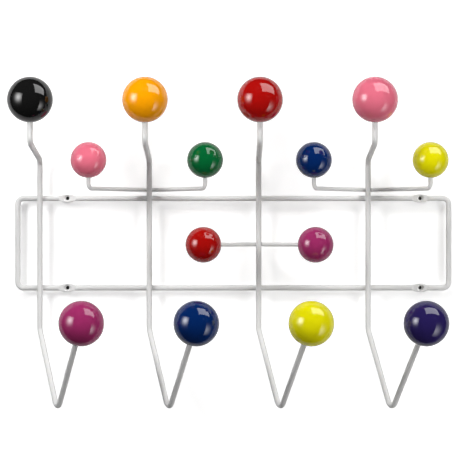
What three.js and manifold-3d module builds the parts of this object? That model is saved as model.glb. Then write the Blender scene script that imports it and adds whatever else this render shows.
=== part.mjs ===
// A wall-mounted coat rack of bent and welded steel rod, with a ball on the end of every rod.
// Millimetres. +X runs along the rack and +Z is up. The wall is the plane Y = 0 and the rack stands in
// front of it, towards -Y. The origin is on the wall, in the middle of the closed rail loop.
import * as THREE from 'three';
import { mergeVertices } from 'three/addons/utils/BufferGeometryUtils.js';
import Module from 'manifold-3d';

const wasm = await Module();
wasm.setup();

// Rods
const railRodDiameter = 6.35;
const hookRodDiameter = 6.35;
const armRodDiameter = 4.75;
const weldClearance = 0.3; // between two rods that are welded where they cross

// Rail loop: two rails joined by rounded ends
const loopWidth = 502.4; // outside to outside
const railSpacing = 103; // between the axes of the two rails
const loopCornerRadius = 7; // to the axis of the rod

// Eyes pressed flat in the rails, each with a countersunk screw hole
const leftEyeInset = 57; // from the axis of the loop's left end to the nearer screw holes
const rightEyeInset = 32.65; // from the axis of its right end
// between the left and the right screw holes: 406.4, or 16 inches
const eyeSpacing = loopWidth - railRodDiameter - leftEyeInset - rightEyeInset;
const eyeLength = 22;
const eyeWidth = 9.7;
const eyeThickness = 3.4;
const eyeFlatShare = 0.7; // share of an eye's length that is fully flat
const screwHoleDiameter = 4.5;
const countersinkDiameter = 8;
const countersinkDepth = 1.75;

// Spacers that hold the rails off the wall
const spacerLength = 7.5;
const spacerDiameter = 9;
const spacerBore = 5;
const spacerClearance = 0.3; // between a spacer and the back of its eye

// Hook rods: an upright, a hook that runs forward and up from its top, and a vee below
const hookCount = 4;
const hookPitch = 125.6;
const firstHookInset = 26; // from the axis of the loop's left end to the first hook
const hookBendRadius = 9.5; // to the axis of the rod
const topBendRise = 44; // from the top rail up to where the upright turns forward
const forwardRise = 14.4; // how much the hook climbs on its way forward
const topBallRise = 47.4; // from the front bend up to the centre of the top ball
const topBallReach = 140; // from the wall to the centre of a top ball
const lowBendDrop = 47.7; // from the bottom rail down to where the upright leans forward
const veeDrop = 91; // from there down to the sharp corner of the vee, before it is rounded
const veeReach = 59.5; // from the wall to that corner
const veeOffset = 23.6; // sideways from the upright to that corner
const lowBallRise = 102.9; // from that corner up to the centre of the low ball
const lowBallReach = 140;
const lowBallOffset = 56; // sideways from the upright

// Short arms, welded behind the hook rods
const armBendRadius = 6;
const upperArmRise = 9.7; // from the axis of the top rail
const upperArmSpread = 65; // sideways from the hook rod to each ball
const upperArmHooks = [1, 3]; // the hooks that carry an upper arm, counted from 0 at the left
const upperBallRise = 31.8; // from the arm up to the centre of its ball
const middleArmHeight = -1.5;
const middleArmSpread = 62.5;
const middleArmHooks = [2];
const smallBallReach = 91;

// Balls, each with a blind bore for its rod
const largeBallDiameter = 50;
const smallBallDiameter = 40;
const largeBoreDepth = 20;
const smallBoreDepth = 16;
const boreClearance = 0.3; // on the radius, and past the end of the rod

// Facets
const rodSides = 12;
const armSides = 10;
const stepsPerBend = 6;
const ringSides = 24;

// Lacquer colours, and which ball has which, from left to right
const lacquers = {
  black: 0x101012,
  orange: 0xf6a21a,
  red: 0xb8141c,
  pink: 0xdc6f8c,
  magenta: 0x96206a,
  blue: 0x0b2f78,
  yellow: 0xe0d41c,
  indigo: 0x2a1a62,
  green: 0x0c6a3e,
};
const topBalls = ['black', 'orange', 'red', 'pink'];
const lowBalls = ['magenta', 'blue', 'yellow', 'indigo'];
const upperBalls = ['pink', 'green', 'blue', 'yellow'];
const middleBalls = ['red', 'magenta'];

// Where the pieces sit, from the wall outwards
const eyeReach = spacerLength + spacerClearance + eyeThickness / 2;
const hookReach = eyeReach + railRodDiameter / 2 + weldClearance + hookRodDiameter / 2;
const armReach = hookReach - hookRodDiameter / 2 - weldClearance - armRodDiameter / 2;
const loopEndX = (loopWidth - railRodDiameter) / 2;
const railHeight = railSpacing / 2;
const topBendHeight = railHeight + topBendRise;
const frontBendHeight = topBendHeight + forwardRise;
const lowBendHeight = -railHeight - lowBendDrop;
const veeHeight = lowBendHeight - veeDrop;
const upperArmHeight = railHeight + upperArmRise;
const hookX = (index) => firstHookInset - loopEndX + index * hookPitch;
const leftEyeX = leftEyeInset - loopEndX;
const eyeXs = [leftEyeX, leftEyeX + eyeSpacing];

const at = (x, reach, height) => new THREE.Vector3(x, -reach, height);

const powderCoat = () => new THREE.MeshStandardMaterial({ color: 0xe9e9e7, roughness: 0.45, metalness: 0 });
const lacquer = (paint) => (
  new THREE.MeshStandardMaterial({ color: lacquers[paint], roughness: 0.12, metalness: 0 })
);
const nylon = () => new THREE.MeshStandardMaterial({ color: 0xdededb, roughness: 0.6, metalness: 0 });

// The axis of a bent rod: straight from corner to corner, with an arc of one radius in place of each
// inner corner. Its stations are only where it bends, so a straight is one step long.
class BentAxis extends THREE.Curve {
  constructor(corners, bendRadius) {
    super();
    this.stations = [];
    corners.forEach((corner, index) => this.addCorner(corners, corner, index, bendRadius));
    this.steps = this.stations.length - 1;
  }

  addCorner(corners, corner, index, bendRadius) {
    const before = corners[index - 1];
    const after = corners[index + 1];
    const arriving = before && corner.clone().sub(before).normalize();
    const leaving = after && after.clone().sub(corner).normalize();
    if (!arriving || !leaving) {
      this.stations.push({ point: corner, along: arriving || leaving });
      return;
    }
    const turn = arriving.angleTo(leaving);
    const inward = leaving.clone().addScaledVector(arriving, -Math.cos(turn)).normalize();
    const start = corner.clone().addScaledVector(arriving, -bendRadius * Math.tan(turn / 2));
    for (let step = 0; step <= stepsPerBend; step += 1) {
      const angle = (turn * step) / stepsPerBend;
      const point = start.clone()
        .addScaledVector(arriving, bendRadius * Math.sin(angle))
        .addScaledVector(inward, bendRadius * (1 - Math.cos(angle)));
      const along = arriving.clone()
        .multiplyScalar(Math.cos(angle))
        .addScaledVector(inward, Math.sin(angle));
      this.stations.push({ point, along });
    }
  }

  between(t, key) {
    const place = Math.min(Math.max(t, 0), 1) * this.steps;
    const index = Math.min(Math.floor(place), this.steps - 1);
    return this.stations[index][key].clone().lerp(this.stations[index + 1][key], place - index);
  }

  getPoint(t, target = new THREE.Vector3()) {
    return target.copy(this.between(t, 'point'));
  }

  getPointAt(u, target = new THREE.Vector3()) {
    return this.getPoint(u, target);
  }

  getTangent(t, target = new THREE.Vector3()) {
    return target.copy(this.between(t, 'along').normalize());
  }

  getTangentAt(u, target = new THREE.Vector3()) {
    return this.getTangent(u, target);
  }
}

function bentRod(corners, bendRadius, diameter, sides) {
  const axis = new BentAxis(corners, bendRadius);
  const section = new THREE.Shape().absarc(0, 0, diameter / 2, 0, 2 * Math.PI, false);
  // a full circle is divided into twice as many sides as curveSegments says
  return new THREE.ExtrudeGeometry(section, {
    steps: axis.steps,
    curveSegments: sides / 2,
    extrudePath: axis,
    bevelEnabled: false,
  });
}

function solidOf(geometry) {
  const bare = geometry.clone();
  bare.deleteAttribute('normal');
  bare.deleteAttribute('uv');
  const merged = mergeVertices(bare);
  return new wasm.Manifold(new wasm.Mesh({
    numProp: 3,
    vertProperties: new Float32Array(merged.attributes.position.array),
    triVerts: new Uint32Array(merged.index.array),
  }));
}

function geometryOf(solid) {
  const { vertProperties, triVerts } = solid.getMesh();
  const geometry = new THREE.BufferGeometry();
  geometry.setAttribute('position', new THREE.BufferAttribute(vertProperties, 3));
  geometry.setIndex(new THREE.BufferAttribute(triVerts, 1));
  const faceted = geometry.toNonIndexed();
  faceted.computeVertexNormals();
  return faceted;
}

function mesh(name, geometry, material) {
  const made = new THREE.Mesh(geometry, material);
  made.name = name;
  return made;
}

// An outline of [x, y] points drawn in X and Y, and made as thick as it says along Z.
function plate(outline, thickness) {
  const shape = new THREE.Shape(outline.map(([x, y]) => new THREE.Vector2(x, y)));
  return new THREE.ExtrudeGeometry(shape, { depth: thickness, bevelEnabled: false });
}

// Half of the loop: from the middle of the top rail, round the right end, to the middle of the bottom rail.
function halfLoop() {
  const pastMiddle = -1; // the two halves overlap here and become one rod
  return bentRod([
    at(pastMiddle, eyeReach, railHeight),
    at(loopEndX, eyeReach, railHeight),
    at(loopEndX, eyeReach, -railHeight),
    at(pastMiddle, eyeReach, -railHeight),
  ], loopCornerRadius, railRodDiameter, rodSides);
}

// What the press takes off one side of the rod at an eye: a block with sloping ends, as wide as the eye.
function pressBlock(side) {
  const flat = (eyeLength * eyeFlatShare) / 2;
  const reach = railRodDiameter;
  const slope = (eyeLength / 2 - flat) / (railRodDiameter / 2 - eyeThickness / 2);
  const deep = flat + slope * (reach - eyeThickness / 2);
  const block = plate([
    [-flat, eyeThickness / 2],
    [flat, eyeThickness / 2],
    [deep, reach],
    [-deep, reach],
  ], 2 * eyeWidth);
  block.translate(0, 0, -eyeWidth);
  if (side < 0) block.rotateZ(Math.PI);
  return block;
}

// The flattened metal of an eye: a pointed oval that faces the wall and the room.
function eyeBlank() {
  const oval = new THREE.Shape().absellipse(0, 0, eyeLength / 2, eyeWidth / 2, 0, 2 * Math.PI, false, 0);
  const blank = new THREE.ExtrudeGeometry(oval, {
    depth: eyeThickness,
    curveSegments: ringSides / 2,
    bevelEnabled: false,
  });
  blank.translate(0, 0, -eyeThickness / 2);
  blank.rotateX(Math.PI / 2);
  return blank;
}

// What the drill and the countersink take out of an eye, from the back to the room side.
function screwHoleCut() {
  const past = 1;
  const front = eyeThickness / 2;
  const hole = screwHoleDiameter / 2;
  const rim = countersinkDiameter / 2;
  const widening = (past * (rim - hole)) / countersinkDepth;
  const cut = new THREE.LatheGeometry([
    new THREE.Vector2(0, -front - past),
    new THREE.Vector2(hole, -front - past),
    new THREE.Vector2(hole, front - countersinkDepth),
    new THREE.Vector2(rim + widening, front + past),
    new THREE.Vector2(0, front + past),
  ], ringSides);
  cut.rotateX(Math.PI); // the wide end faces the room, at -Y
  return cut;
}

function railLoop() {
  const right = halfLoop();
  const left = halfLoop().rotateY(Math.PI);
  let loop = solidOf(right).add(solidOf(left));
  for (const x of eyeXs) {
    for (const height of [railHeight, -railHeight]) {
      const place = (geometry) => solidOf(geometry.translate(x, -eyeReach, height));
      loop = loop
        .subtract(place(pressBlock(1)))
        .subtract(place(pressBlock(-1)))
        .add(place(eyeBlank()))
        .subtract(place(screwHoleCut()));
    }
  }
  return mesh('rail_loop', geometryOf(loop), powderCoat());
}

function wallSpacer(name, x, height) {
  const bore = spacerBore / 2;
  const outside = spacerDiameter / 2;
  const ring = new THREE.LatheGeometry([
    new THREE.Vector2(bore, 0),
    new THREE.Vector2(outside, 0),
    new THREE.Vector2(outside, spacerLength),
    new THREE.Vector2(bore, spacerLength),
    new THREE.Vector2(bore, 0),
  ], ringSides);
  const spacer = mesh(name, ring, nylon());
  spacer.rotation.x = Math.PI; // from the wall at Y = 0 towards the room
  spacer.position.set(x, 0, height);
  return spacer;
}

// Where a rod ends inside a ball that it enters in the direction given.
function rodEnd(centre, towards, { diameter, boreDepth }) {
  return centre.clone().addScaledVector(towards, boreDepth - boreClearance - diameter / 2);
}

// A turned ball with a blind bore, on a rod that enters it in the direction given. The row names it.
function ball(row, paint, centre, towards, size) {
  const { diameter, boreDepth, rodDiameter, sides, rings } = size;
  const radius = diameter / 2;
  const bore = rodDiameter / 2 + boreClearance;
  const mouth = Math.asin(bore / radius);
  const profile = [
    new THREE.Vector2(0, boreDepth - radius),
    new THREE.Vector2(bore, boreDepth - radius),
  ];
  for (let ring = 0; ring < rings; ring += 1) {
    const angle = mouth + ((Math.PI - mouth) * ring) / rings;
    profile.push(new THREE.Vector2(radius * Math.sin(angle), -radius * Math.cos(angle)));
  }
  profile.push(new THREE.Vector2(0, radius));
  const made = mesh(`${row}_ball_${paint}`, new THREE.LatheGeometry(profile, sides), lacquer(paint));
  made.quaternion.setFromUnitVectors(new THREE.Vector3(0, 1, 0), towards);
  made.position.copy(centre);
  return made;
}

const largeBall = {
  diameter: largeBallDiameter, boreDepth: largeBoreDepth, rodDiameter: hookRodDiameter, sides: 24, rings: 14,
};
const smallBall = {
  diameter: smallBallDiameter, boreDepth: smallBoreDepth, rodDiameter: armRodDiameter, sides: 20, rings: 12,
};

// A hook rod with its two balls. The group stands where the upright crosses the rails.
function hook(index) {
  const up = new THREE.Vector3(0, 0, 1);
  const vee = at(veeOffset, veeReach, veeHeight);
  const topCentre = at(0, topBallReach, frontBendHeight + topBallRise);
  const lowCentre = at(lowBallOffset, lowBallReach, veeHeight + lowBallRise);
  const climb = lowCentre.clone().sub(vee).normalize();
  const rod = bentRod([
    rodEnd(topCentre, up, largeBall),
    at(0, topBallReach, frontBendHeight),
    at(0, hookReach, topBendHeight),
    at(0, hookReach, lowBendHeight),
    vee,
    rodEnd(lowCentre, climb, largeBall),
  ], hookBendRadius, hookRodDiameter, rodSides);
  const group = new THREE.Group();
  group.add(mesh(`hook_rod_${index + 1}`, rod, powderCoat()));
  group.add(ball('top', topBalls[index], topCentre, up, largeBall));
  group.add(ball('low', lowBalls[index], lowCentre, climb, largeBall));
  group.position.x = hookX(index);
  return group;
}

// How far from the wall the sharp corner of an arm lies, so that its rounded middle touches the hook rod.
function armCornerReach(spread) {
  const share = armBendRadius / spread;
  const rest = smallBallReach - armReach - armBendRadius;
  const across = Math.sqrt(rest * rest + spread * spread * (1 - share * share));
  return smallBallReach - (rest + share * across) / (1 - share * share);
}

// An arm whose ends turn up into the balls from below.
function upperArm(armIndex) {
  const hookIndex = upperArmHooks[armIndex];
  const up = new THREE.Vector3(0, 0, 1);
  const sides = [-1, 1];
  const centreHeight = upperArmHeight + upperBallRise;
  const centres = sides.map((side) => at(side * upperArmSpread, smallBallReach, centreHeight));
  const ends = centres.map((centre) => rodEnd(centre, up, smallBall));
  const turns = sides.map((side) => at(side * upperArmSpread, smallBallReach, upperArmHeight));
  const corner = at(0, armCornerReach(upperArmSpread), upperArmHeight);
  const corners = [ends[0], turns[0], corner, turns[1], ends[1]];
  const rod = bentRod(corners, armBendRadius, armRodDiameter, armSides);
  const group = new THREE.Group();
  group.add(mesh(`upper_arm_${armIndex + 1}`, rod, powderCoat()));
  centres.forEach((centre, side) => {
    group.add(ball('upper', upperBalls[2 * armIndex + side], centre, up, smallBall));
  });
  group.position.x = hookX(hookIndex);
  return group;
}

// An arm whose straight wings run on into the sides of the balls.
function middleArm(armIndex) {
  const sides = [-1, 1];
  const corner = at(0, armCornerReach(middleArmSpread), middleArmHeight);
  const centres = sides.map((side) => at(side * middleArmSpread, smallBallReach, middleArmHeight));
  const outwards = centres.map((centre) => centre.clone().sub(corner).normalize());
  const ends = centres.map((centre, side) => rodEnd(centre, outwards[side], smallBall));
  const rod = bentRod([ends[0], corner, ends[1]], armBendRadius, armRodDiameter, armSides);
  const group = new THREE.Group();
  group.add(mesh(`middle_arm_${armIndex + 1}`, rod, powderCoat()));
  centres.forEach((centre, side) => {
    group.add(ball('middle', middleBalls[2 * armIndex + side], centre, outwards[side], smallBall));
  });
  group.position.x = hookX(middleArmHooks[armIndex]);
  return group;
}

function wallFrame() {
  const group = new THREE.Group();
  group.add(railLoop());
  eyeXs.forEach((x, column) => {
    const side = ['left', 'right'][column];
    group.add(wallSpacer(`spacer_top_${side}`, x, railHeight));
    group.add(wallSpacer(`spacer_bottom_${side}`, x, -railHeight));
  });
  return group;
}

const rack = new THREE.Group();
rack.add(wallFrame());
for (let index = 0; index < hookCount; index += 1) rack.add(hook(index));
upperArmHooks.forEach((_, armIndex) => rack.add(upperArm(armIndex)));
middleArmHooks.forEach((_, armIndex) => rack.add(middleArm(armIndex)));

export default rack;
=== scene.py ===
# %% [markdown]
# # A wall-mounted coat rack of bent steel rod
#
# The rack has few parts, and each is simple: steel rod bent cold and welded where it crosses, a white
# powder coat baked over it, and a turned ball with a glossy lacquer pressed on every rod end. With so
# little to look at, three things carry the likeness: smooth bends, the eyes that are pressed flat for
# the screws, and the way the lacquer mirrors the studio.
#
# The measured model is loaded first. Every piece below takes its place and its size from it.

import math
import random

import bmesh
import bpy
import numpy as np
from mathutils import Matrix, Vector


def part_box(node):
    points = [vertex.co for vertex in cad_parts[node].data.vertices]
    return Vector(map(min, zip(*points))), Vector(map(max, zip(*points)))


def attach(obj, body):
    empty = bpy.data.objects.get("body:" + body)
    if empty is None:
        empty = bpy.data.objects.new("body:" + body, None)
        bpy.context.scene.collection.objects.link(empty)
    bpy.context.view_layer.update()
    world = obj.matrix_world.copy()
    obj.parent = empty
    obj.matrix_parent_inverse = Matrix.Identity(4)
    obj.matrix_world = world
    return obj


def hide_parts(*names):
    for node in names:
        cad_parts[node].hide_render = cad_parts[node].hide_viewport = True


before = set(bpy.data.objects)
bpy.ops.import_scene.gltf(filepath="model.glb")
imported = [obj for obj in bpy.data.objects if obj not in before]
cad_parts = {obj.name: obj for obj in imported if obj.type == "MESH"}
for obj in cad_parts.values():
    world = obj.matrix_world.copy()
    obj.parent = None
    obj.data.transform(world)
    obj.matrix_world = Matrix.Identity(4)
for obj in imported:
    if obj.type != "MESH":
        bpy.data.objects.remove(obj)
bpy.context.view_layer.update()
MM = 0.001

# %% [markdown]
# ## The camera
#
# The rack is seen square from the front, from so far off that all four hooks look alike. A long lens
# does that. The camera stands 2.5 m in front of the wall, almost level with the middle of the loop, and
# looks straight at the wall.

# %% Place the camera
CAMERA_PLACE = (-0.0009, -2.533, 0.01215)
SENSOR_WIDTH_MM = 36
LENS_MM = 169.7
camera_data = bpy.data.cameras.new("long_lens")
camera_data.sensor_width = SENSOR_WIDTH_MM
camera_data.lens = LENS_MM
camera = bpy.data.objects.new("camera", camera_data)
camera.location = CAMERA_PLACE
camera.rotation_euler = (math.pi / 2, 0, 0)
bpy.context.scene.collection.objects.link(camera)
bpy.context.scene.camera = camera
print("camera looks along +Y from", CAMERA_PLACE, "through a", LENS_MM, "mm lens")

# %% [markdown]
# ## Writing a finish as a sum
#
# A Blender material is a net of nodes. Drawn by hand it soon turns into knitting, so here a socket is
# wrapped in a small class that knows +, - and *, with a number on either side. An expression such as
# `0.1 + 0.05 * grain` then adds its own Math nodes. Everything else, a noise or a bump, comes from one
# method, `node`: it takes the kind of node, its settings, and the values or wires of its sockets.

# %% A socket that can be used in a sum
class Wire:
    def __init__(self, recipe, socket):
        self.recipe = recipe
        self.socket = socket

    def maths(self, operation, first, second):
        return self.recipe.node("ShaderNodeMath", {"operation": operation}, {0: first, 1: second})

    def __add__(self, other):
        return self.maths("ADD", self, other)

    def __radd__(self, other):
        return self.maths("ADD", other, self)

    def __sub__(self, other):
        return self.maths("SUBTRACT", self, other)

    def __rsub__(self, other):
        return self.maths("SUBTRACT", other, self)

    def __mul__(self, other):
        return self.maths("MULTIPLY", self, other)

    def __rmul__(self, other):
        return self.maths("MULTIPLY", other, self)


class Recipe:
    def __init__(self, name):
        self.material = bpy.data.materials.new(name)
        self.material.use_nodes = True
        self.tree = self.material.node_tree
        self.tree.nodes.clear()

    def node(self, kind, settings, sockets, output=0):
        made = self.tree.nodes.new(kind)
        for key, value in settings.items():
            setattr(made, key, value)
        for key, value in sockets.items():
            if isinstance(value, Wire):
                self.tree.links.new(value.socket, made.inputs[key])
            else:
                made.inputs[key].default_value = value
        return Wire(self, made.outputs[output]) if made.outputs else None

    def noise(self, grain_mm, detail):
        place = self.node("ShaderNodeTexCoord", {}, {}, output="Object")
        sockets = {"Vector": place, "Scale": 1 / (grain_mm * MM), "Detail": detail}
        return self.node("ShaderNodeTexNoise", {}, sockets)

    def blend(self, factor, first, second):
        """A mix of two colours. Sockets 6 and 7, and output 2, are the Mix node's colour sockets."""
        sockets = {0: factor, 6: first, 7: second}
        return self.node("ShaderNodeMix", {"data_type": "RGBA"}, sockets, output=2)

    def bump(self, height, depth_mm, strength):
        sockets = {"Height": height, "Distance": depth_mm * MM, "Strength": strength}
        return self.node("ShaderNodeBump", {}, sockets)

    def surface(self, sockets):
        shader = self.node("ShaderNodeBsdfPrincipled", {}, sockets)
        self.node("ShaderNodeOutputMaterial", {}, {"Surface": shader})
        return self.material


def tint(colour, share):
    """A colour made a little darker or lighter, with the fourth channel that a socket wants."""
    return (*(min(1.0, channel * share) for channel in colour), 1.0)


print("finishes can be written as sums")

# %% [markdown]
# ## White powder coat
#
# Powder is sprayed dry on the steel and melted in an oven. It levels almost flat, but keeps a soft
# waviness a millimetre or two across that is known as orange peel, and a satin gloss. Two layers of
# noise make it: a broad one that the eye reads as waviness, and a fine one, taken away from the first,
# for the tiny pits between the grains. The roughness drifts a little as well, as the coat is never
# equally thick all round a rod.

# %% Mix the powder coat
POWDER_WHITE = (0.80, 0.80, 0.795)


def powder_coat():
    recipe = Recipe("satin_powder_coat")
    drift = recipe.noise(grain_mm=34, detail=1)
    peel = recipe.noise(grain_mm=1.6, detail=2)
    grain = recipe.noise(grain_mm=0.45, detail=1)
    colour = recipe.blend(drift, tint(POWDER_WHITE, 0.975), tint(POWDER_WHITE, 1.015))
    return recipe.surface({
        "Base Color": colour,
        "Roughness": 0.38 + 0.1 * drift + 0.05 * grain,
        "IOR": 1.45,
        "Specular IOR Level": 0.28,
        "Normal": recipe.bump(0.8 * peel - 0.2 * grain, depth_mm=0.05, strength=0.35),
    })


POWDER = powder_coat()
print("powder coat:", len(POWDER.node_tree.nodes), "nodes")

# %% [markdown]
# ## Ball lacquer
#
# The balls are turned from hard wood, filled, sprayed with several coats and polished until they mirror
# the room. A mirror finish is unforgiving: a roughness of 0.1 already smears the lamps. So the gloss is
# close to that of glass, with the faintest sag left by the spray, and the pigment varies only slightly.
# Where the pigment lies a little thinner and darker, the polish has bitten a little more. One recipe
# serves every colour.

# %% Mix the lacquers
PIGMENTS = {
    "black": (0.006, 0.006, 0.006),
    "orange": (0.9, 0.335, 0.001),
    "red": (0.38, 0.004, 0.003),
    "pink": (0.76, 0.16, 0.235),
    "magenta": (0.33, 0.026, 0.125),
    "blue": (0.001, 0.019, 0.115),
    "yellow": (0.80, 0.74, 0.002),
    "indigo": (0.021, 0.013, 0.095),
    "green": (0.001, 0.118, 0.029),
}


def lacquer(paint):
    recipe = Recipe(f"gloss_lacquer_{paint}")
    cloud = recipe.noise(grain_mm=9, detail=2)
    polish = 1 - cloud
    sag = recipe.noise(grain_mm=14, detail=1)
    peel = recipe.noise(grain_mm=1.3, detail=1)
    colour = recipe.blend(cloud, tint(PIGMENTS[paint], 0.94), tint(PIGMENTS[paint], 1.05))
    return recipe.surface({
        "Base Color": colour,
        "Roughness": 0.075 - 0.03 * polish + 0.01 * peel,
        "IOR": 1.5,
        "Normal": recipe.bump(0.8 * sag + 0.2 * peel, depth_mm=0.04, strength=0.12),
    })


LACQUERS = {paint: lacquer(paint) for paint in PIGMENTS}
print("lacquers:", ", ".join(LACQUERS))

# %% [markdown]
# ## Moulded nylon
#
# A short white spacer stands between each eye and the wall. It is moulded nylon: matt, faintly warm,
# with the fine spark-eroded texture of its mould.

# %% Mix the nylon
NYLON_WHITE = (0.74, 0.74, 0.72)


def moulded_nylon():
    recipe = Recipe("moulded_nylon")
    flow = recipe.noise(grain_mm=6, detail=1)
    spark = recipe.noise(grain_mm=0.3, detail=2)
    return recipe.surface({
        "Base Color": recipe.blend(flow, tint(NYLON_WHITE, 0.97), tint(NYLON_WHITE, 1.02)),
        "Roughness": 0.5 + 0.12 * spark,
        "IOR": 1.53,
        "Normal": recipe.bump(spark, depth_mm=0.02, strength=0.4),
    })


NYLON = moulded_nylon()
print("nylon:", len(NYLON.node_tree.nodes), "nodes")

# %% [markdown]
# ## From a mesh to a piece
#
# Every piece ends in the same way. Its mesh gets one finish, smooth shading, and a hard edge wherever
# two faces meet at more than a set angle. It then rides on the rack's one rigid body and, unless it is
# a weld, takes the place of its measured twin.
#
# Most shapes here are skins over a row of rings, whether they are swept along a path or spun round an
# axis, so one helper joins the rings.

# %% Hand a piece over
CREASE_DEGREES = 40


def placed(name, shape):
    """Turns a shape in the making into an object in the scene."""
    mesh = bpy.data.meshes.new(name)
    shape.to_mesh(mesh)
    shape.free()
    made = bpy.data.objects.new(name, mesh)
    bpy.context.scene.collection.objects.link(made)
    return made


def smoothed(mesh, crease_degrees):
    mesh.shade_smooth()
    mesh.set_sharp_from_angle(angle=math.radians(crease_degrees))


def add_piece(name, shape, finish, node=None):
    bmesh.ops.recalc_face_normals(shape, faces=shape.faces)
    piece = placed(name, shape)
    piece.data.materials.append(finish)
    smoothed(piece.data, CREASE_DEGREES)
    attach(piece, "root")
    if node:
        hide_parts(node)
    return piece


def skin(shape, rings, closed=False):
    """Joins rings of vertices with four-sided faces. At a ring of one vertex they have three sides."""
    following = rings[1:] + rings[:1] if closed else rings[1:]
    for near, far in zip(rings, following):
        count = max(len(near), len(far))
        for side in range(count):
            corners = [
                near[side % len(near)],
                near[(side + 1) % len(near)],
                far[(side + 1) % len(far)],
                far[side % len(far)],
            ]
            shape.faces.new(dict.fromkeys(corners))


print("pieces can be handed over")

# %% [markdown]
# ## Turning on a lathe
#
# Balls, spacers, weld necks and the cutters for the screw holes are all turned: half an outline, spun
# round an axis. `turned` takes the outline as (radius, height) pairs, and the axis as a point and a
# direction. A closed outline, such as a spacer's, doesn't touch the axis and leaves a bore.

# %% Spin an outline
def turned(outline, origin, axis, sides, shape=None, closed=False):
    shape = shape or bmesh.new()
    turn = Vector((0, 0, 1)).rotation_difference(axis)
    stand = Matrix.Translation(origin) @ turn.to_matrix().to_4x4()
    rings = []
    for radius, height in outline:
        turns = sides if radius > 0 else 1
        ring = []
        for side in range(turns):
            angle = 2 * math.pi * side / sides
            spot = Vector((radius * math.cos(angle), radius * math.sin(angle), height))
            ring.append(shape.verts.new(stand @ spot))
        rings.append(ring)
    skin(shape, rings, closed)
    return shape


print("outlines can be spun")

# %% [markdown]
# ## Reading a ball from the measured model
#
# The measured balls are faceted, but every facet's corner lies on the true sphere. A least-squares fit
# to the corners near the outside gives the centre and the radius back exactly. The flat bottom of the
# bore lies deep inside. It gives the direction from which the rod comes in, and how far it goes.

# %% Fit a sphere to each measured ball
OUTSIDE_SHARE = 0.9
DEEP_SHARE = 0.5
DECIMALS = 6


def measured_corners(node):
    """The corners of a measured part, each once, and for each of its vertices the corner it is on."""
    corners = np.array([vertex.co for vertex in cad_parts[node].data.vertices])
    return np.unique(np.round(corners, DECIMALS), axis=0, return_inverse=True)


def measured_ball(node):
    corners, _ = measured_corners(node)
    middle = (corners.min(axis=0) + corners.max(axis=0)) / 2
    away = np.linalg.norm(corners - middle, axis=1)
    outside = corners[away > OUTSIDE_SHARE * away.max()]
    system = np.column_stack([2 * outside, np.ones(len(outside))])
    answer = np.linalg.lstsq(system, (outside**2).sum(axis=1), rcond=None)[0]
    centre = answer[:3]
    radius = math.sqrt(answer[3] + centre @ centre)
    deep = np.linalg.norm(corners - centre, axis=1) < DEEP_SHARE * radius
    bottom = corners[deep].mean(axis=0)
    return {
        "centre": Vector(centre),
        "radius": radius,
        "inwards": Vector(centre - bottom).normalized(),
        "bore_depth": radius - (Vector(centre) - Vector(bottom)).length,
    }


BALL_NODES = sorted(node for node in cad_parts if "_ball_" in node)
BALLS = {node: measured_ball(node) for node in BALL_NODES}
for node, ball in BALLS.items():
    place_mm = [round(part / MM, 1) for part in ball["centre"]]
    print(node, "diameter", round(2 * ball["radius"] / MM, 2), "at", place_mm)

# %% [markdown]
# ## Reading a rod from the measured model
#
# A measured rod is a chain of rings, one at each end and a few round each bend. Starting from the ring
# that lies deepest in a ball, the walk below steps from ring to ring along the edges. The middle of each
# ring is a point of the rod's axis, and the ring's own plane gives the direction there.

# %% Walk along each measured rod
FIRST_RING_DEPTH = 1 * MM


def measured_rings(node, start):
    """The rings of corners along a rod, from the one nearest to the start."""
    spots, index = measured_corners(node)
    neighbours = [set() for _ in spots]
    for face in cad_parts[node].data.polygons:
        joined = {int(index.flat[vertex]) for vertex in face.vertices}
        for spot in joined:
            neighbours[spot] |= joined
    away = np.linalg.norm(spots - np.array(start), axis=1)
    ring = set(np.flatnonzero(away < away.min() + FIRST_RING_DEPTH).tolist())
    seen = set(ring)
    rings = []
    while ring:
        rings.append(spots[sorted(ring)])
        ring = set().union(*(neighbours[spot] for spot in ring)) - seen
        seen |= ring
    return rings


def measured_rod(node, start):
    rings = measured_rings(node, start)
    centres = [Vector(ring.mean(axis=0)) for ring in rings]
    radius = float(np.linalg.norm(rings[0] - rings[0].mean(axis=0), axis=1).mean())
    directions = []
    for place, ring in enumerate(rings):
        normal = Vector(np.linalg.svd(ring - ring.mean(axis=0))[2][2])
        onward = centres[min(place + 1, len(rings) - 1)] - centres[max(place - 1, 0)]
        directions.append(normal if normal.dot(onward) > 0 else -normal)
    return {"centres": centres, "directions": directions, "radius": radius}


BALL_ROW = {"hook": "top", "upper": "upper", "middle": "middle"}


def first_ball(node):
    """A ball that a rod ends in: the nearest in the row of balls that belongs to such rods."""
    low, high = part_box(node)
    middle = (low + high) / 2
    row = BALL_ROW[node.split("_")[0]]
    in_row = [ball for ball in BALL_NODES if ball.startswith(row)]
    return min(in_row, key=lambda ball: (BALLS[ball]["centre"] - middle).length)


RODS = {}
for node in sorted(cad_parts):
    if "_rod_" in node or "_arm_" in node:
        RODS[node] = measured_rod(node, BALLS[first_ball(node)]["centre"])
for node, rod in RODS.items():
    print(node, "diameter", round(2 * rod["radius"] / MM, 2), "with", len(rod["centres"]), "stations")

# %% [markdown]
# ## Bending a rod
#
# A rod bent round a former has straight lengths and true arcs. Between two stations of the axis the
# path is drawn as a cubic whose end speeds are those of an arc, so a few points are enough for a smooth
# bend. A round section is then carried along it without twisting. The two ends, which are out of sight
# inside the balls, get a small chamfer, as sawn rod does.

# %% Draw the path and sweep the section
ROD_SIDES = 36
STEPS_PER_ARC = 3
STRAIGHT_ENOUGH = 0.001
END_CHAMFER = 0.4 * MM


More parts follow.
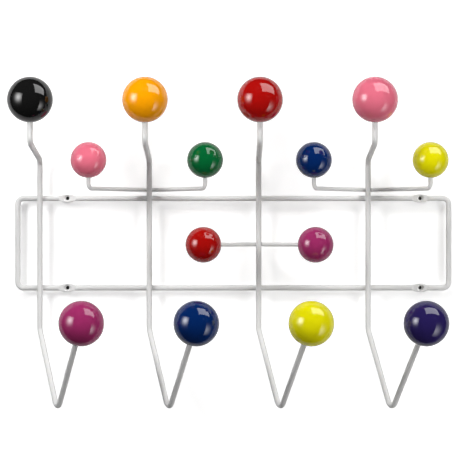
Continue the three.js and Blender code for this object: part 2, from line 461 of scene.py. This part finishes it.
def arc_points(start, leaving, end, arriving):
    """Points from one station up to, but without, the next, each with its direction."""
    turn = leaving.angle(arriving)
    if turn < STRAIGHT_ENOUGH:
        return [(start, leaving)]
    speed = (end - start).length * 2 * math.tan(turn / 4) / math.sin(turn / 2)
    points = []
    for step in range(STEPS_PER_ARC):
        t = step / STEPS_PER_ARC
        point = (
            (2 * t**3 - 3 * t**2 + 1) * start
            + (t**3 - 2 * t**2 + t) * speed * leaving
            + (3 * t**2 - 2 * t**3) * end
            + (t**3 - t**2) * speed * arriving
        )
        along = (
            (6 * t**2 - 6 * t) * (start - end)
            + (3 * t**2 - 4 * t + 1) * speed * leaving
            + (3 * t**2 - 2 * t) * speed * arriving
        )
        points.append((point, along.normalized()))
    return points


def rod_path(rod):
    centres, directions = rod["centres"], rod["directions"]
    path = []
    for place in range(len(centres) - 1):
        path += arc_points(centres[place], directions[place], centres[place + 1], directions[place + 1])
    path.append((centres[-1], directions[-1]))
    return path


def with_chamfers(path):
    """The path with one more point just inside each end, where the chamfer ends."""
    (first, leaving), (last, arriving) = path[0], path[-1]
    inside_first = (first + END_CHAMFER * leaving, leaving)
    inside_last = (last - END_CHAMFER * arriving, arriving)
    return [path[0], inside_first, *path[1:-1], inside_last, path[-1]]


def swept_rod(rod):
    shape = bmesh.new()
    path = with_chamfers(rod_path(rod))
    side_on = path[0][1].orthogonal().normalized()
    rings = []
    for place, (point, along) in enumerate(path):
        side_on = (side_on - along * side_on.dot(along)).normalized()
        other = along.cross(side_on)
        at_end = place in (0, len(path) - 1)
        radius = rod["radius"] - (END_CHAMFER if at_end else 0)
        ring = []
        for side in range(ROD_SIDES):
            angle = 2 * math.pi * side / ROD_SIDES
            offset = radius * (math.cos(angle) * side_on + math.sin(angle) * other)
            ring.append(shape.verts.new(point + offset))
        rings.append(ring)
    skin(shape, rings)
    shape.faces.new(rings[0])
    shape.faces.new(rings[-1])
    return shape


for node, rod in RODS.items():
    piece = add_piece(f"bent_{node}", swept_rod(rod), POWDER, node)
    print(piece.name, len(piece.data.polygons), "faces")

# %% [markdown]
# ## The rail loop
#
# One long rod makes both rails: it is bent into a narrow loop with a tight radius at the four corners,
# and its ends are butt-welded. Before it is drilled, a press squeezes it flat in four places. The
# metal has to go somewhere, so the eye comes out wider than the rod, a pointed oval with soft edges.
#
# Only its box and the places of the spacers are measured here. The rest of an eye is too small for a
# box to tell, so its length and thickness are given.

# %% Measure the loop
loop_low, loop_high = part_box("rail_loop")
RAIL_RADIUS = (loop_high.y - loop_low.y) / 2
RAIL_Y = (loop_high.y + loop_low.y) / 2
LOOP_END_X = loop_high.x - RAIL_RADIUS
SPACER_NODES = [f"spacer_{corner}" for corner in ("top_left", "top_right", "bottom_left", "bottom_right")]
EYES = []
for node in SPACER_NODES:
    low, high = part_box(node)
    EYES.append(((low.x + high.x) / 2, (low.z + high.z) / 2))
RAIL_Z = EYES[0][1]
EYE_HALF_WIDTH = loop_high.z - RAIL_Z
EYE_HALF_LENGTH = 11 * MM
EYE_HALF_FLAT = 7.7 * MM
EYE_HALF_THICKNESS = 1.7 * MM
LOOP_CORNER = 7 * MM
print("rails at", round(RAIL_Z / MM, 2), "mm above and below the middle")
print("eyes at", [round(x / MM, 1) for x, _ in EYES], "mm along the rack")

# %% [markdown]
# The loop is swept like the other rods, but its stations are laid out here: some round each corner, and
# many across each eye, where the section changes. Straight rod between them needs none.

# %% Lay out the loop's stations
EYE_STATIONS = 28
CORNER_STATIONS = 10
SAME_RAIL = 1 * MM


def straight_stations(height, leftwards):
    """Stations along one rail, as (x, z, direction angle, distance from the middle of an eye)."""
    ends = LOOP_END_X - LOOP_CORNER
    places = {-ends: None, ends: None}
    for eye_x, eye_z in EYES:
        if abs(eye_z - height) < SAME_RAIL:
            for step in range(EYE_STATIONS + 1):
                offset = (2 * step / EYE_STATIONS - 1) * EYE_HALF_LENGTH
                places[eye_x + offset] = offset
    order = sorted(places, reverse=leftwards)
    return [(x, height, math.pi if leftwards else 0.0, places[x]) for x in order]


def corner_stations(centre_x, centre_z, first_angle):
    """Stations round a corner, clockwise as seen from the room. Its ends belong to the straights."""
    found = []
    for step in range(1, CORNER_STATIONS):
        angle = first_angle - (math.pi / 2) * step / CORNER_STATIONS
        x = centre_x + LOOP_CORNER * math.cos(angle)
        z = centre_z + LOOP_CORNER * math.sin(angle)
        found.append((x, z, angle - math.pi / 2, None))
    return found


def loop_stations():
    x = LOOP_END_X - LOOP_CORNER
    z = RAIL_Z - LOOP_CORNER
    down, up = -math.pi / 2, math.pi / 2
    return [
        *straight_stations(RAIL_Z, leftwards=False),
        *corner_stations(x, z, math.pi / 2),
        (LOOP_END_X, z, down, None),
        (LOOP_END_X, -z, down, None),
        *corner_stations(x, -z, 0.0),
        *straight_stations(-RAIL_Z, leftwards=True),
        *corner_stations(-x, -z, -math.pi / 2),
        (-LOOP_END_X, -z, up, None),
        (-LOOP_END_X, z, up, None),
        *corner_stations(-x, z, math.pi),
    ]


print("the loop has", len(loop_stations()), "stations")

# %% [markdown]
# On its way through an eye the round section is squeezed from front to back and bulges up and down. A
# superellipse does that: it is round at power 2 and grows squarer above it, which is just how squeezed
# rod looks. The bulge is an ellipse along the rail. A high power joins it to the rod with hardly a
# fillet, as the press does.

# %% Sweep the loop with its eyes
ROUND_POWER = 2.0
SQUEEZED_POWER = 4.6
JOINING_POWER = 12


def smooth_step(value):
    value = min(max(value, 0.0), 1.0)
    return value * value * (3 - 2 * value)


def eye_section(distance):
    """Half thickness, half width and superellipse power at a distance from the middle of an eye."""
    if distance is None:
        return RAIL_RADIUS, RAIL_RADIUS, ROUND_POWER
    along = min(abs(distance) / EYE_HALF_LENGTH, 1.0)
    oval = EYE_HALF_WIDTH * math.sqrt(1 - along * along)
    width = (oval**JOINING_POWER + RAIL_RADIUS**JOINING_POWER) ** (1 / JOINING_POWER)
    slope = EYE_HALF_LENGTH - EYE_HALF_FLAT
    squeezed = smooth_step((EYE_HALF_LENGTH - abs(distance)) / slope)
    thickness = RAIL_RADIUS + squeezed * (EYE_HALF_THICKNESS - RAIL_RADIUS)
    return thickness, width, ROUND_POWER + squeezed * (SQUEEZED_POWER - ROUND_POWER)


def signed_power(value, exponent):
    return math.copysign(abs(value) ** exponent, value)


def swept_loop():
    shape = bmesh.new()
    rings = []
    for x, z, heading, distance in loop_stations():
        thickness, width, power = eye_section(distance)
        across = Vector((-math.sin(heading), 0, math.cos(heading)))
        ring = []
        for side in range(ROD_SIDES):
            angle = 2 * math.pi * side / ROD_SIDES
            out = thickness * signed_power(math.cos(angle), 2 / power)
            over = width * signed_power(math.sin(angle), 2 / power)
            ring.append(shape.verts.new(Vector((x, RAIL_Y - out, z)) + over * across))
        rings.append(ring)
    skin(shape, rings, closed=True)
    return shape


rail = add_piece("bent_rail_loop", swept_loop(), POWDER, "rail_loop")
print(rail.name, len(rail.data.polygons), "faces before drilling")

# %% [markdown]
# ## Drilling the eyes
#
# Each eye has a clearance hole for the screw's shank and a countersink for its head, cut from the room
# side. The cutters are turned like the balls, and a Boolean takes them out of the metal. At both faces
# of the eye the cutter flares a little, which leaves the softened rim that powder coat gives to every
# edge. It sticks out of the metal on both sides, because a cutter that ends flush cuts badly.

# %% Turn the cutters and drill
HOLE_RADIUS = 2.25 * MM
COUNTERSINK_RADIUS = 4 * MM
COUNTERSINK_DEPTH = 1.75 * MM
RIM_SOFTENING = 0.25 * MM
CORNER_SOFTENING = 0.1 * MM
FLARE = 0.15 * MM
FLARE_ABOVE_FACE = 0.02 * MM
CUTTER_OVERRUN = 2 * MM
CUTTER_SPREAD = 1.2 * MM
SMALL_TURNED_SIDES = 48
DRILLED_CREASE_DEGREES = 32
INTO_ROOM = Vector((0, -1, 0))


def cutter_outline():
    face = EYE_HALF_THICKNESS
    cone_start = face - COUNTERSINK_DEPTH
    slope = (COUNTERSINK_RADIUS - HOLE_RADIUS) / COUNTERSINK_DEPTH
    flare = COUNTERSINK_RADIUS + FLARE
    return [
        (0, -face - CUTTER_OVERRUN),
        (HOLE_RADIUS + RIM_SOFTENING, -face - CUTTER_OVERRUN),
        (HOLE_RADIUS + RIM_SOFTENING, -face),
        (HOLE_RADIUS, -face + RIM_SOFTENING),
        (HOLE_RADIUS, cone_start - CORNER_SOFTENING),
        (HOLE_RADIUS + CORNER_SOFTENING * slope, cone_start + CORNER_SOFTENING),
        (COUNTERSINK_RADIUS - RIM_SOFTENING * slope, face - RIM_SOFTENING),
        (flare, face + FLARE_ABOVE_FACE),
        (flare + CUTTER_SPREAD, face + CUTTER_OVERRUN),
        (0, face + CUTTER_OVERRUN),
    ]


def screw_cutters():
    shape = bmesh.new()
    for x, z in EYES:
        turned(cutter_outline(), Vector((x, RAIL_Y, z)), INTO_ROOM, SMALL_TURNED_SIDES, shape)
    bmesh.ops.recalc_face_normals(shape, faces=shape.faces)
    return placed("screw_cutters", shape)


def drill(piece, tool):
    cut = piece.modifiers.new("screw holes", "BOOLEAN")
    cut.operation = "DIFFERENCE"
    cut.solver = "EXACT"
    cut.object = tool
    evaluated = piece.evaluated_get(bpy.context.evaluated_depsgraph_get())
    drilled = bpy.data.meshes.new_from_object(evaluated)
    piece.modifiers.clear()
    piece.data = drilled
    smoothed(drilled, DRILLED_CREASE_DEGREES)
    bpy.data.objects.remove(tool)


drill(rail, screw_cutters())
print(rail.name, len(rail.data.polygons), "faces after drilling")

# %% [markdown]
# ## The wall spacers
#
# Each screw passes through a short sleeve that keeps the rail clear of the wall, so that a coat can
# hang behind it. A moulded sleeve has no sharp edge anywhere: its rims are rolled over.

# %% Turn the spacers
RIM = 0.45 * MM
RIM_STEPS = 4
SPACER_BORE_RADIUS = 2.5 * MM


def spacer_shape(low, high):
    outside = (high.x - low.x) / 2
    length = high.y - low.y
    outline = []
    corners = [
        (SPACER_BORE_RADIUS + RIM, RIM, math.pi, 1.5 * math.pi),
        (outside - RIM, RIM, 1.5 * math.pi, 2 * math.pi),
        (outside - RIM, length - RIM, 0, math.pi / 2),
        (SPACER_BORE_RADIUS + RIM, length - RIM, math.pi / 2, math.pi),
    ]
    for radius, height, first, last in corners:
        for step in range(RIM_STEPS + 1):
            angle = first + (last - first) * step / RIM_STEPS
            outline.append((radius + RIM * math.cos(angle), height + RIM * math.sin(angle)))
    foot = Vector(((low.x + high.x) / 2, high.y, (low.z + high.z) / 2))
    return turned(outline, foot, INTO_ROOM, SMALL_TURNED_SIDES, closed=True)


for node in SPACER_NODES:
    piece = add_piece(f"moulded_{node}", spacer_shape(*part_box(node)), NYLON, node)
    print(piece.name, len(piece.data.polygons), "faces")

# %% [markdown]
# ## The balls
#
# A ball is turned in one setting: the sphere, the blind bore for the rod, and a small rounded lip
# between them where the lacquer gathers. The bore is a push fit, so only a hair's breadth shows.
#
# Here it is one outline, spun round the line along which the rod comes in. The mirror finish shows every
# flat, so the outline has many steps, and a large ball has more than a small one.

# %% Turn the balls
FIT = 0.06 * MM
LIP = 0.7 * MM
LIP_STEPS = 6
LARGE_RINGS, LARGE_SIDES = 48, 80
SMALL_RINGS, SMALL_SIDES = 40, 64


def ball_outline(radius, bore, bore_depth, rings):
    """From the bottom of the bore, round the lip and over the sphere. The rod comes in from below."""
    mouth = math.asin(bore / radius)
    sphere_from = mouth + LIP / radius
    bottom = bore_depth - radius
    lip_start = Vector((bore, -radius * math.cos(mouth) + LIP))
    lip_middle = Vector((bore, -radius * math.cos(mouth)))
    lip_end = Vector((radius * math.sin(sphere_from), -radius * math.cos(sphere_from)))
    outline = [(0, bottom), (bore, bottom)]
    for step in range(LIP_STEPS):
        t = step / LIP_STEPS
        point = (1 - t) ** 2 * lip_start + 2 * t * (1 - t) * lip_middle + t**2 * lip_end
        outline.append((point.x, point.y))
    for step in range(rings):
        angle = sphere_from + (math.pi - sphere_from) * step / rings
        outline.append((radius * math.sin(angle), -radius * math.cos(angle)))
    outline.append((0, radius))
    return outline


for node, ball in BALLS.items():
    row, _, paint = node.split("_")
    large = row in ("top", "low")
    rod_radius = RODS["hook_rod_1" if large else "middle_arm_1"]["radius"]
    rings, sides = (LARGE_RINGS, LARGE_SIDES) if large else (SMALL_RINGS, SMALL_SIDES)
    outline = ball_outline(ball["radius"], rod_radius + FIT, ball["bore_depth"], rings)
    shape = turned(outline, ball["centre"], ball["inwards"], sides)
    piece = add_piece(f"turned_{node}", shape, LACQUERS[paint], node)
    print(piece.name, len(piece.data.polygons), "faces")

# %% [markdown]
# ## The welds
#
# Where two rods cross, a pulse of current melts the point at which they touch and they sink together a
# little. From the front a rod hides its weld, but from the side there is a short neck of metal between
# the two, never quite even. Each neck is turned as a spool and then roughened, with seeded
# random numbers so that it comes out the same every time.

# %% Join the rods
WELD_WAIST_RADIUS = 1.9 * MM
WELD_FLARE = 0.8 * MM
WELD_HALF_LENGTH = 1.35 * MM
WELD_HALF_STEPS = 6
WELD_SIDES = 28
WELD_GAP = 0.3 * MM
CONTACT_Y = loop_low.y - WELD_GAP / 2
SMALLEST_LOBE_MM, LARGEST_LOBE_MM = 0.02, 0.12
LOBES_ROUND_NECK = (2, 3, 5)
WELD_SEED = 7
draw = random.Random(WELD_SEED)


def neck_outline():
    outline = [(0, -WELD_HALF_LENGTH)]
    for step in range(2 * WELD_HALF_STEPS + 1):
        height = (step / WELD_HALF_STEPS - 1) * WELD_HALF_LENGTH
        swell = WELD_FLARE * (height / WELD_HALF_LENGTH) ** 2
        outline.append((WELD_WAIST_RADIUS + swell, height))
    outline.append((0, WELD_HALF_LENGTH))
    return outline


def weld_neck(place):
    shape = turned(neck_outline(), place, INTO_ROOM, WELD_SIDES)
    lobes = []
    for count in LOBES_ROUND_NECK:
        size = draw.uniform(SMALLEST_LOBE_MM, LARGEST_LOBE_MM) * MM
        phase = draw.uniform(0, 2 * math.pi)
        lobes.append((size, phase, count))
    for vertex in shape.verts:
        away = Vector((vertex.co.x - place.x, 0, vertex.co.z - place.z))
        if away.length > 0:
            angle = math.atan2(away.z, away.x)
            uneven = sum(size * math.cos(count * angle + phase) for size, phase, count in lobes)
            vertex.co += away.normalized() * uneven
    return shape


def upright_x(node):
    """A hook rod starts in its top ball, which stands right above and in front of its upright."""
    return sum(RODS[node]["centres"][place].x for place in (0, 1)) / 2


crossings = []
hook_nodes = [node for node in RODS if node.startswith("hook_rod_")]
for number, node in enumerate(hook_nodes, 1):
    x = upright_x(node)
    crossings.append((f"weld_top_rail_{number}", x, RAIL_Z))
    crossings.append((f"weld_bottom_rail_{number}", x, -RAIL_Z))
for node in ("upper_arm_1", "upper_arm_2", "middle_arm_1"):
    low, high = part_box(node)
    crossings.append((f"weld_{node}", (low.x + high.x) / 2, low.z + RODS[node]["radius"]))
for name, x, z in crossings:
    add_piece(name, weld_neck(Vector((x, CONTACT_Y, z))), POWDER)
print(len(crossings), "welds, each", round(2 * WELD_WAIST_RADIUS / MM, 1), "mm across at the waist")

# %% [markdown]
# ## The studio: wall and floor
#
# The rack hangs on a white wall that is burnt out to pure white, with only the shadows of the rods left
# on it. In a real studio the wall would be a plain white, and whitened further when the picture is
# finished. Here two panels share that work. The one that the camera sees has a little light of its own,
# more of it low down, where the lamps above reach less. The other lies a millimetre behind it and is the
# plain wall: it throws light back on the rack, and it is what the gloss mirrors.
#
# Wall and floor can be seen from the room side only, so that the rack's back and underside can be looked
# at too. Their paint is mixed with a clear shader, by which side of the face is looked at.

# %% Build the wall and the floor
WASH_TOP, WASH_BOTTOM = 0.25, -0.2
GLOW_ABOVE, GLOW_BELOW = 0.27, 0.5


def wall_wash(recipe):
    """A grey of light, which grows smoothly from the top of the wash to its bottom."""
    place = recipe.node("ShaderNodeTexCoord", {}, {}, output="Object")
    height = recipe.node("ShaderNodeSeparateXYZ", {}, {0: place}, output="Z")
    low_down = recipe.node("ShaderNodeMapRange", {"interpolation_type": "SMOOTHSTEP"}, {
        "Value": height, "From Min": WASH_TOP, "From Max": WASH_BOTTOM,
    })
    return recipe.blend(low_down, tint((1, 1, 1), GLOW_ABOVE), tint((1, 1, 1), GLOW_BELOW))


def backdrop_paint(name, white, washed=False):
    recipe = Recipe(name)
    mottle = recipe.noise(grain_mm=180, detail=2)
    sockets = {
        "Base Color": recipe.blend(mottle, tint(white, 0.99), tint(white, 1.01)),
        "Roughness": 0.9,
        "Specular IOR Level": 0.1,
    }
    if washed:
        sockets |= {"Emission Color": wall_wash(recipe), "Emission Strength": 1.0}
    paint = recipe.node("ShaderNodeBsdfPrincipled", {}, sockets)
    clear = recipe.node("ShaderNodeBsdfTransparent", {}, {})
    behind = recipe.node("ShaderNodeNewGeometry", {}, {}, output="Backfacing")
    seen = recipe.node("ShaderNodeMixShader", {}, {0: behind, 1: paint, 2: clear})
    recipe.node("ShaderNodeOutputMaterial", {}, {"Surface": seen})
    return recipe.material


PANEL_CUTS = 7


def flat_sheet(corners):
    shape = bmesh.new()
    shape.faces.new([shape.verts.new(corner) for corner in corners])
    return shape


def backdrop(name, corners, paint):
    shape = flat_sheet(corners)
    bmesh.ops.subdivide_edges(shape, edges=shape.edges, cuts=PANEL_CUTS, use_grid_fill=True)
    panel = placed(name, shape)
    panel.data.materials.append(paint)
    return panel


print("backdrops can be painted")

# %% [markdown]
# Where the wall and the floor meet is far below the rack. Neither the floor nor the bright panel shows in
# the gloss, since a real studio is larger and darker than this one.

# %% Put up the wall and lay the floor
WALL_Y = 0.4 * MM
WALL_HALF = 2.0
WALL_TOP = 1.3
PLAIN_WALL_HALF = 0.6
PLAIN_WALL_BOTTOM, PLAIN_WALL_TOP = -0.45, 0.42
PLAIN_WALL_BEHIND = 1 * MM
FLOOR_Z = -1.4
FLOOR_FRONT = -2.2


def wall_panel(name, half, bottom, top, paint):
    corners = [(-half, WALL_Y, bottom), (half, WALL_Y, bottom), (half, WALL_Y, top), (-half, WALL_Y, top)]
    return backdrop(name, corners, paint)


burnt_white = backdrop_paint("studio_white", (0.9, 0.9, 0.9), washed=True)
plain_white = backdrop_paint("studio_plain_white", (0.7, 0.7, 0.7))
wall = wall_panel("studio_wall", WALL_HALF, FLOOR_Z, WALL_TOP, burnt_white)
wall.visible_glossy = False
wall.visible_diffuse = False
plain_wall = wall_panel(
    "studio_plain_wall", PLAIN_WALL_HALF, PLAIN_WALL_BOTTOM, PLAIN_WALL_TOP, plain_white,
)
plain_wall.location.y = PLAIN_WALL_BEHIND
plain_wall.visible_camera = False
floor = backdrop("studio_floor", [
    (-WALL_HALF, FLOOR_FRONT, FLOOR_Z),
    (WALL_HALF, FLOOR_FRONT, FLOOR_Z),
    (WALL_HALF, WALL_Y, FLOOR_Z),
    (-WALL_HALF, WALL_Y, FLOOR_Z),
], backdrop_paint("studio_pale_grey", (0.6, 0.6, 0.59)))
floor.visible_glossy = False
for panel in (wall, plain_wall, floor):
    print(panel.name, "faces", [round(part, 1) for part in panel.data.polygons[0].normal])

# %% [markdown]
# A rack that is ready to be put up has a drilled hole in the wall behind each eye. Seen through the eye,
# the hole lies in shade and looks dark, which makes the screw holes readable from across the room. No
# hole
# is cut here: a disc of painted shade a hair in front of the wall stands in for that shade.

# %% Paint the shade of the wall's drilled holes
HOLE_SHADE_RADIUS = 2.2 * MM
HOLE_SHADE_SIDES = 32
PROUD_OF_WALL = 0.2 * MM
HOLE_SHADE_GREY = (0.11, 0.11, 0.108)
PALER_HOLE_SHADE_GREY = (0.2, 0.198, 0.19)


def painted_hole_shade():
    # Painted shade: a dull dark grey that stands for the shade inside a drilled hole, mottled at random
    # between two greys.
    recipe = Recipe("painted_hole_shade")
    shade_mottle = recipe.noise(grain_mm=0.8, detail=2)
    return recipe.surface({
        "Base Color": recipe.blend(shade_mottle, tint(HOLE_SHADE_GREY, 1), tint(PALER_HOLE_SHADE_GREY, 1)),
        "Roughness": 1.0,
        "Specular IOR Level": 0.0,
    })


# One flat disc of painted shade in front of the wall, behind each eye.
hole_shade_discs = bmesh.new()
for x, z in EYES:
    stand = Matrix.Translation((x, WALL_Y - PROUD_OF_WALL, z)) @ Matrix.Rotation(math.pi / 2, 4, "X")
    bmesh.ops.create_circle(
        hole_shade_discs, cap_ends=True, radius=HOLE_SHADE_RADIUS, segments=HOLE_SHADE_SIDES, matrix=stand,
    )
hole_shade_piece = placed("hole_shade_discs", hole_shade_discs)
hole_shade_piece.data.materials.append(painted_hole_shade())
print(len(EYES), "plug holes in the wall")

# %% [markdown]
# ## The studio: lamps
#
# Gloss shows the lamps as much as it shows the ball, so what the balls mirror is set apart from what
# lights them. A large softbox hangs above the rack on the right and tips towards the wall. It gives each
# ball its four-cornered window. A tall diffusing screen stands far off on the left, with a lamp behind
# its upper part: in the balls it is a glow with a hot middle. A weaker screen stands low on the right.
#
# Three key lamps that the gloss doesn't show, on the left, on the right and above, model the rods and
# throw their soft shadows on the wall. The rest of the room is dark.
#
# Softbox and keys are area lamps. Each is aimed: it stands at a place, its width runs across, and it
# faces a direction. The softbox tips back to face the wall, and the keys face the rack.

# %% Hang the lamps
def aimed(place, across, facing):
    back = -Vector(facing).normalized()
    right = Vector(across)
    right = (right - back * right.dot(back)).normalized()
    up = back.cross(right)
    return Matrix.Translation(place) @ Matrix((right, up, back)).transposed().to_4x4()


def area_lamp(name, place, across, facing, size, radiance, for_gloss):
    """Its power follows from how bright it should look. It lights either the gloss or the rest."""
    width, height = size
    data = bpy.data.lights.new(name, "AREA")
    data.shape = "RECTANGLE"
    data.size = width
    data.size_y = height
    data.energy = radiance * math.pi * width * height
    hung = bpy.data.objects.new(name, data)
    hung.matrix_world = aimed(place, across, facing)
    hung.visible_camera = False
    hung.visible_glossy = for_gloss
    hung.visible_diffuse = not for_gloss
    bpy.context.scene.collection.objects.link(hung)
    print(name, "power", round(data.energy, 1), "W")


RACK_MIDDLE = Vector((0, -0.1, 0.03))
SOFTBOX_WAY = Vector((0.578, -0.186, 0.795))
SOFTBOX_AWAY = 1.15
area_lamp(
    "softbox", RACK_MIDDLE + SOFTBOX_AWAY * SOFTBOX_WAY,
    across=(0.967, 0.253, 0.017), facing=(-0.198, 0.797, -0.571),
    size=(1.2, 0.86), radiance=4.8, for_gloss=True,
)
for name, place, across, size, radiance in (
    ("top_key", Vector((-0.1, -0.8, 0.95)), (1, 0, 0), (0.6, 0.4), 10.5),
    ("left_key", Vector((-0.68, -0.66, 0.34)), (0.7, -0.7, 0), (0.22, 0.3), 22.0),
    ("right_key", Vector((0.79, -0.92, 0.34)), (0.7, 0.7, 0), (0.4, 0.4), 9.0),
):
    area_lamp(name, place, across, RACK_MIDDLE - place, size, radiance, for_gloss=False)

# %% [markdown]
# The screens are sheets whose glow fades from a hot spot, which an area lamp can't do. The glow is a
# bell curve for the lamp close behind the sheet, with a little of a slower fade for the light that
# wanders inside it. The left screen is there for the gloss only. The one on the right also lights the
# balls from below.

# %% Set up the screens
HOT_SHARE, WIDE_SHARE = 0.78, 0.22
WIDE_FADE = 0.9


def screen_glow(name, radiance, spread):
    recipe = Recipe(name)
    place = recipe.node("ShaderNodeTexCoord", {}, {}, output="Object")
    away = recipe.node("ShaderNodeVectorMath", {"operation": "LENGTH"}, {0: place}, output="Value")
    bell = away * away * (-0.5 / spread**2)
    hot = recipe.node("ShaderNodeMath", {"operation": "EXPONENT"}, {0: bell})
    fade = away * (-WIDE_FADE / spread)
    wide = recipe.node("ShaderNodeMath", {"operation": "EXPONENT"}, {0: fade})
    colour = recipe.blend(HOT_SHARE * hot + WIDE_SHARE * wide, (0, 0, 0, 1), (1, 1, 1, 1))
    glow = recipe.node("ShaderNodeEmission", {}, {"Color": colour, "Strength": radiance})
    recipe.node("ShaderNodeOutputMaterial", {}, {"Surface": glow})
    return recipe.material


def screen(name, hot_spot, across, sides, radiance, spread, in_diffuse):
    """A lit sheet round its hot spot. Its sides are left, right, down and up from there."""
    left, right, down, up = sides
    corners = [(-left, -down, 0), (right, -down, 0), (right, up, 0), (-left, up, 0)]
    lit = placed(name, flat_sheet(corners))
    lit.data.materials.append(screen_glow(f"{name}_glow", radiance, spread))
    lit.matrix_world = aimed(hot_spot, across, RACK_MIDDLE - Vector(hot_spot))
    lit.visible_camera = False
    lit.visible_diffuse = in_diffuse
    lit.visible_shadow = False
    print(name, "is", round(left + right, 2), "m wide and", round(down + up, 2), "m high")


screen(
    "left_screen", (-1.83, -1.24, 0.48), across=(0.49, -0.87, 0),
    sides=(1.9, 0.72, 2.2, 0.66), radiance=13.5, spread=0.42, in_diffuse=False,
)
screen(
    "low_right_screen", (0.95, -0.80, -0.70), across=(0.64, 0.76, 0),
    sides=(0.1, 1.1, 0.6, 1.0), radiance=4.8, spread=0.32, in_diffuse=True,
)

# %% [markdown]
# The rest of the room is nearly black, so that nothing but the lamps shows in the gloss. The colours are
# shown as they are, without a film look.

# %% Darken the room
ROOM_GREY = 0.02
world = bpy.data.worlds.new("dark_room")
world.use_nodes = True
room = world.node_tree.nodes["Background"]
room.inputs["Color"].default_value = (ROOM_GREY, ROOM_GREY, ROOM_GREY, 1)
bpy.context.scene.world = world
bpy.context.scene.view_settings.view_transform = "Standard"
print("the room's own light is", ROOM_GREY)
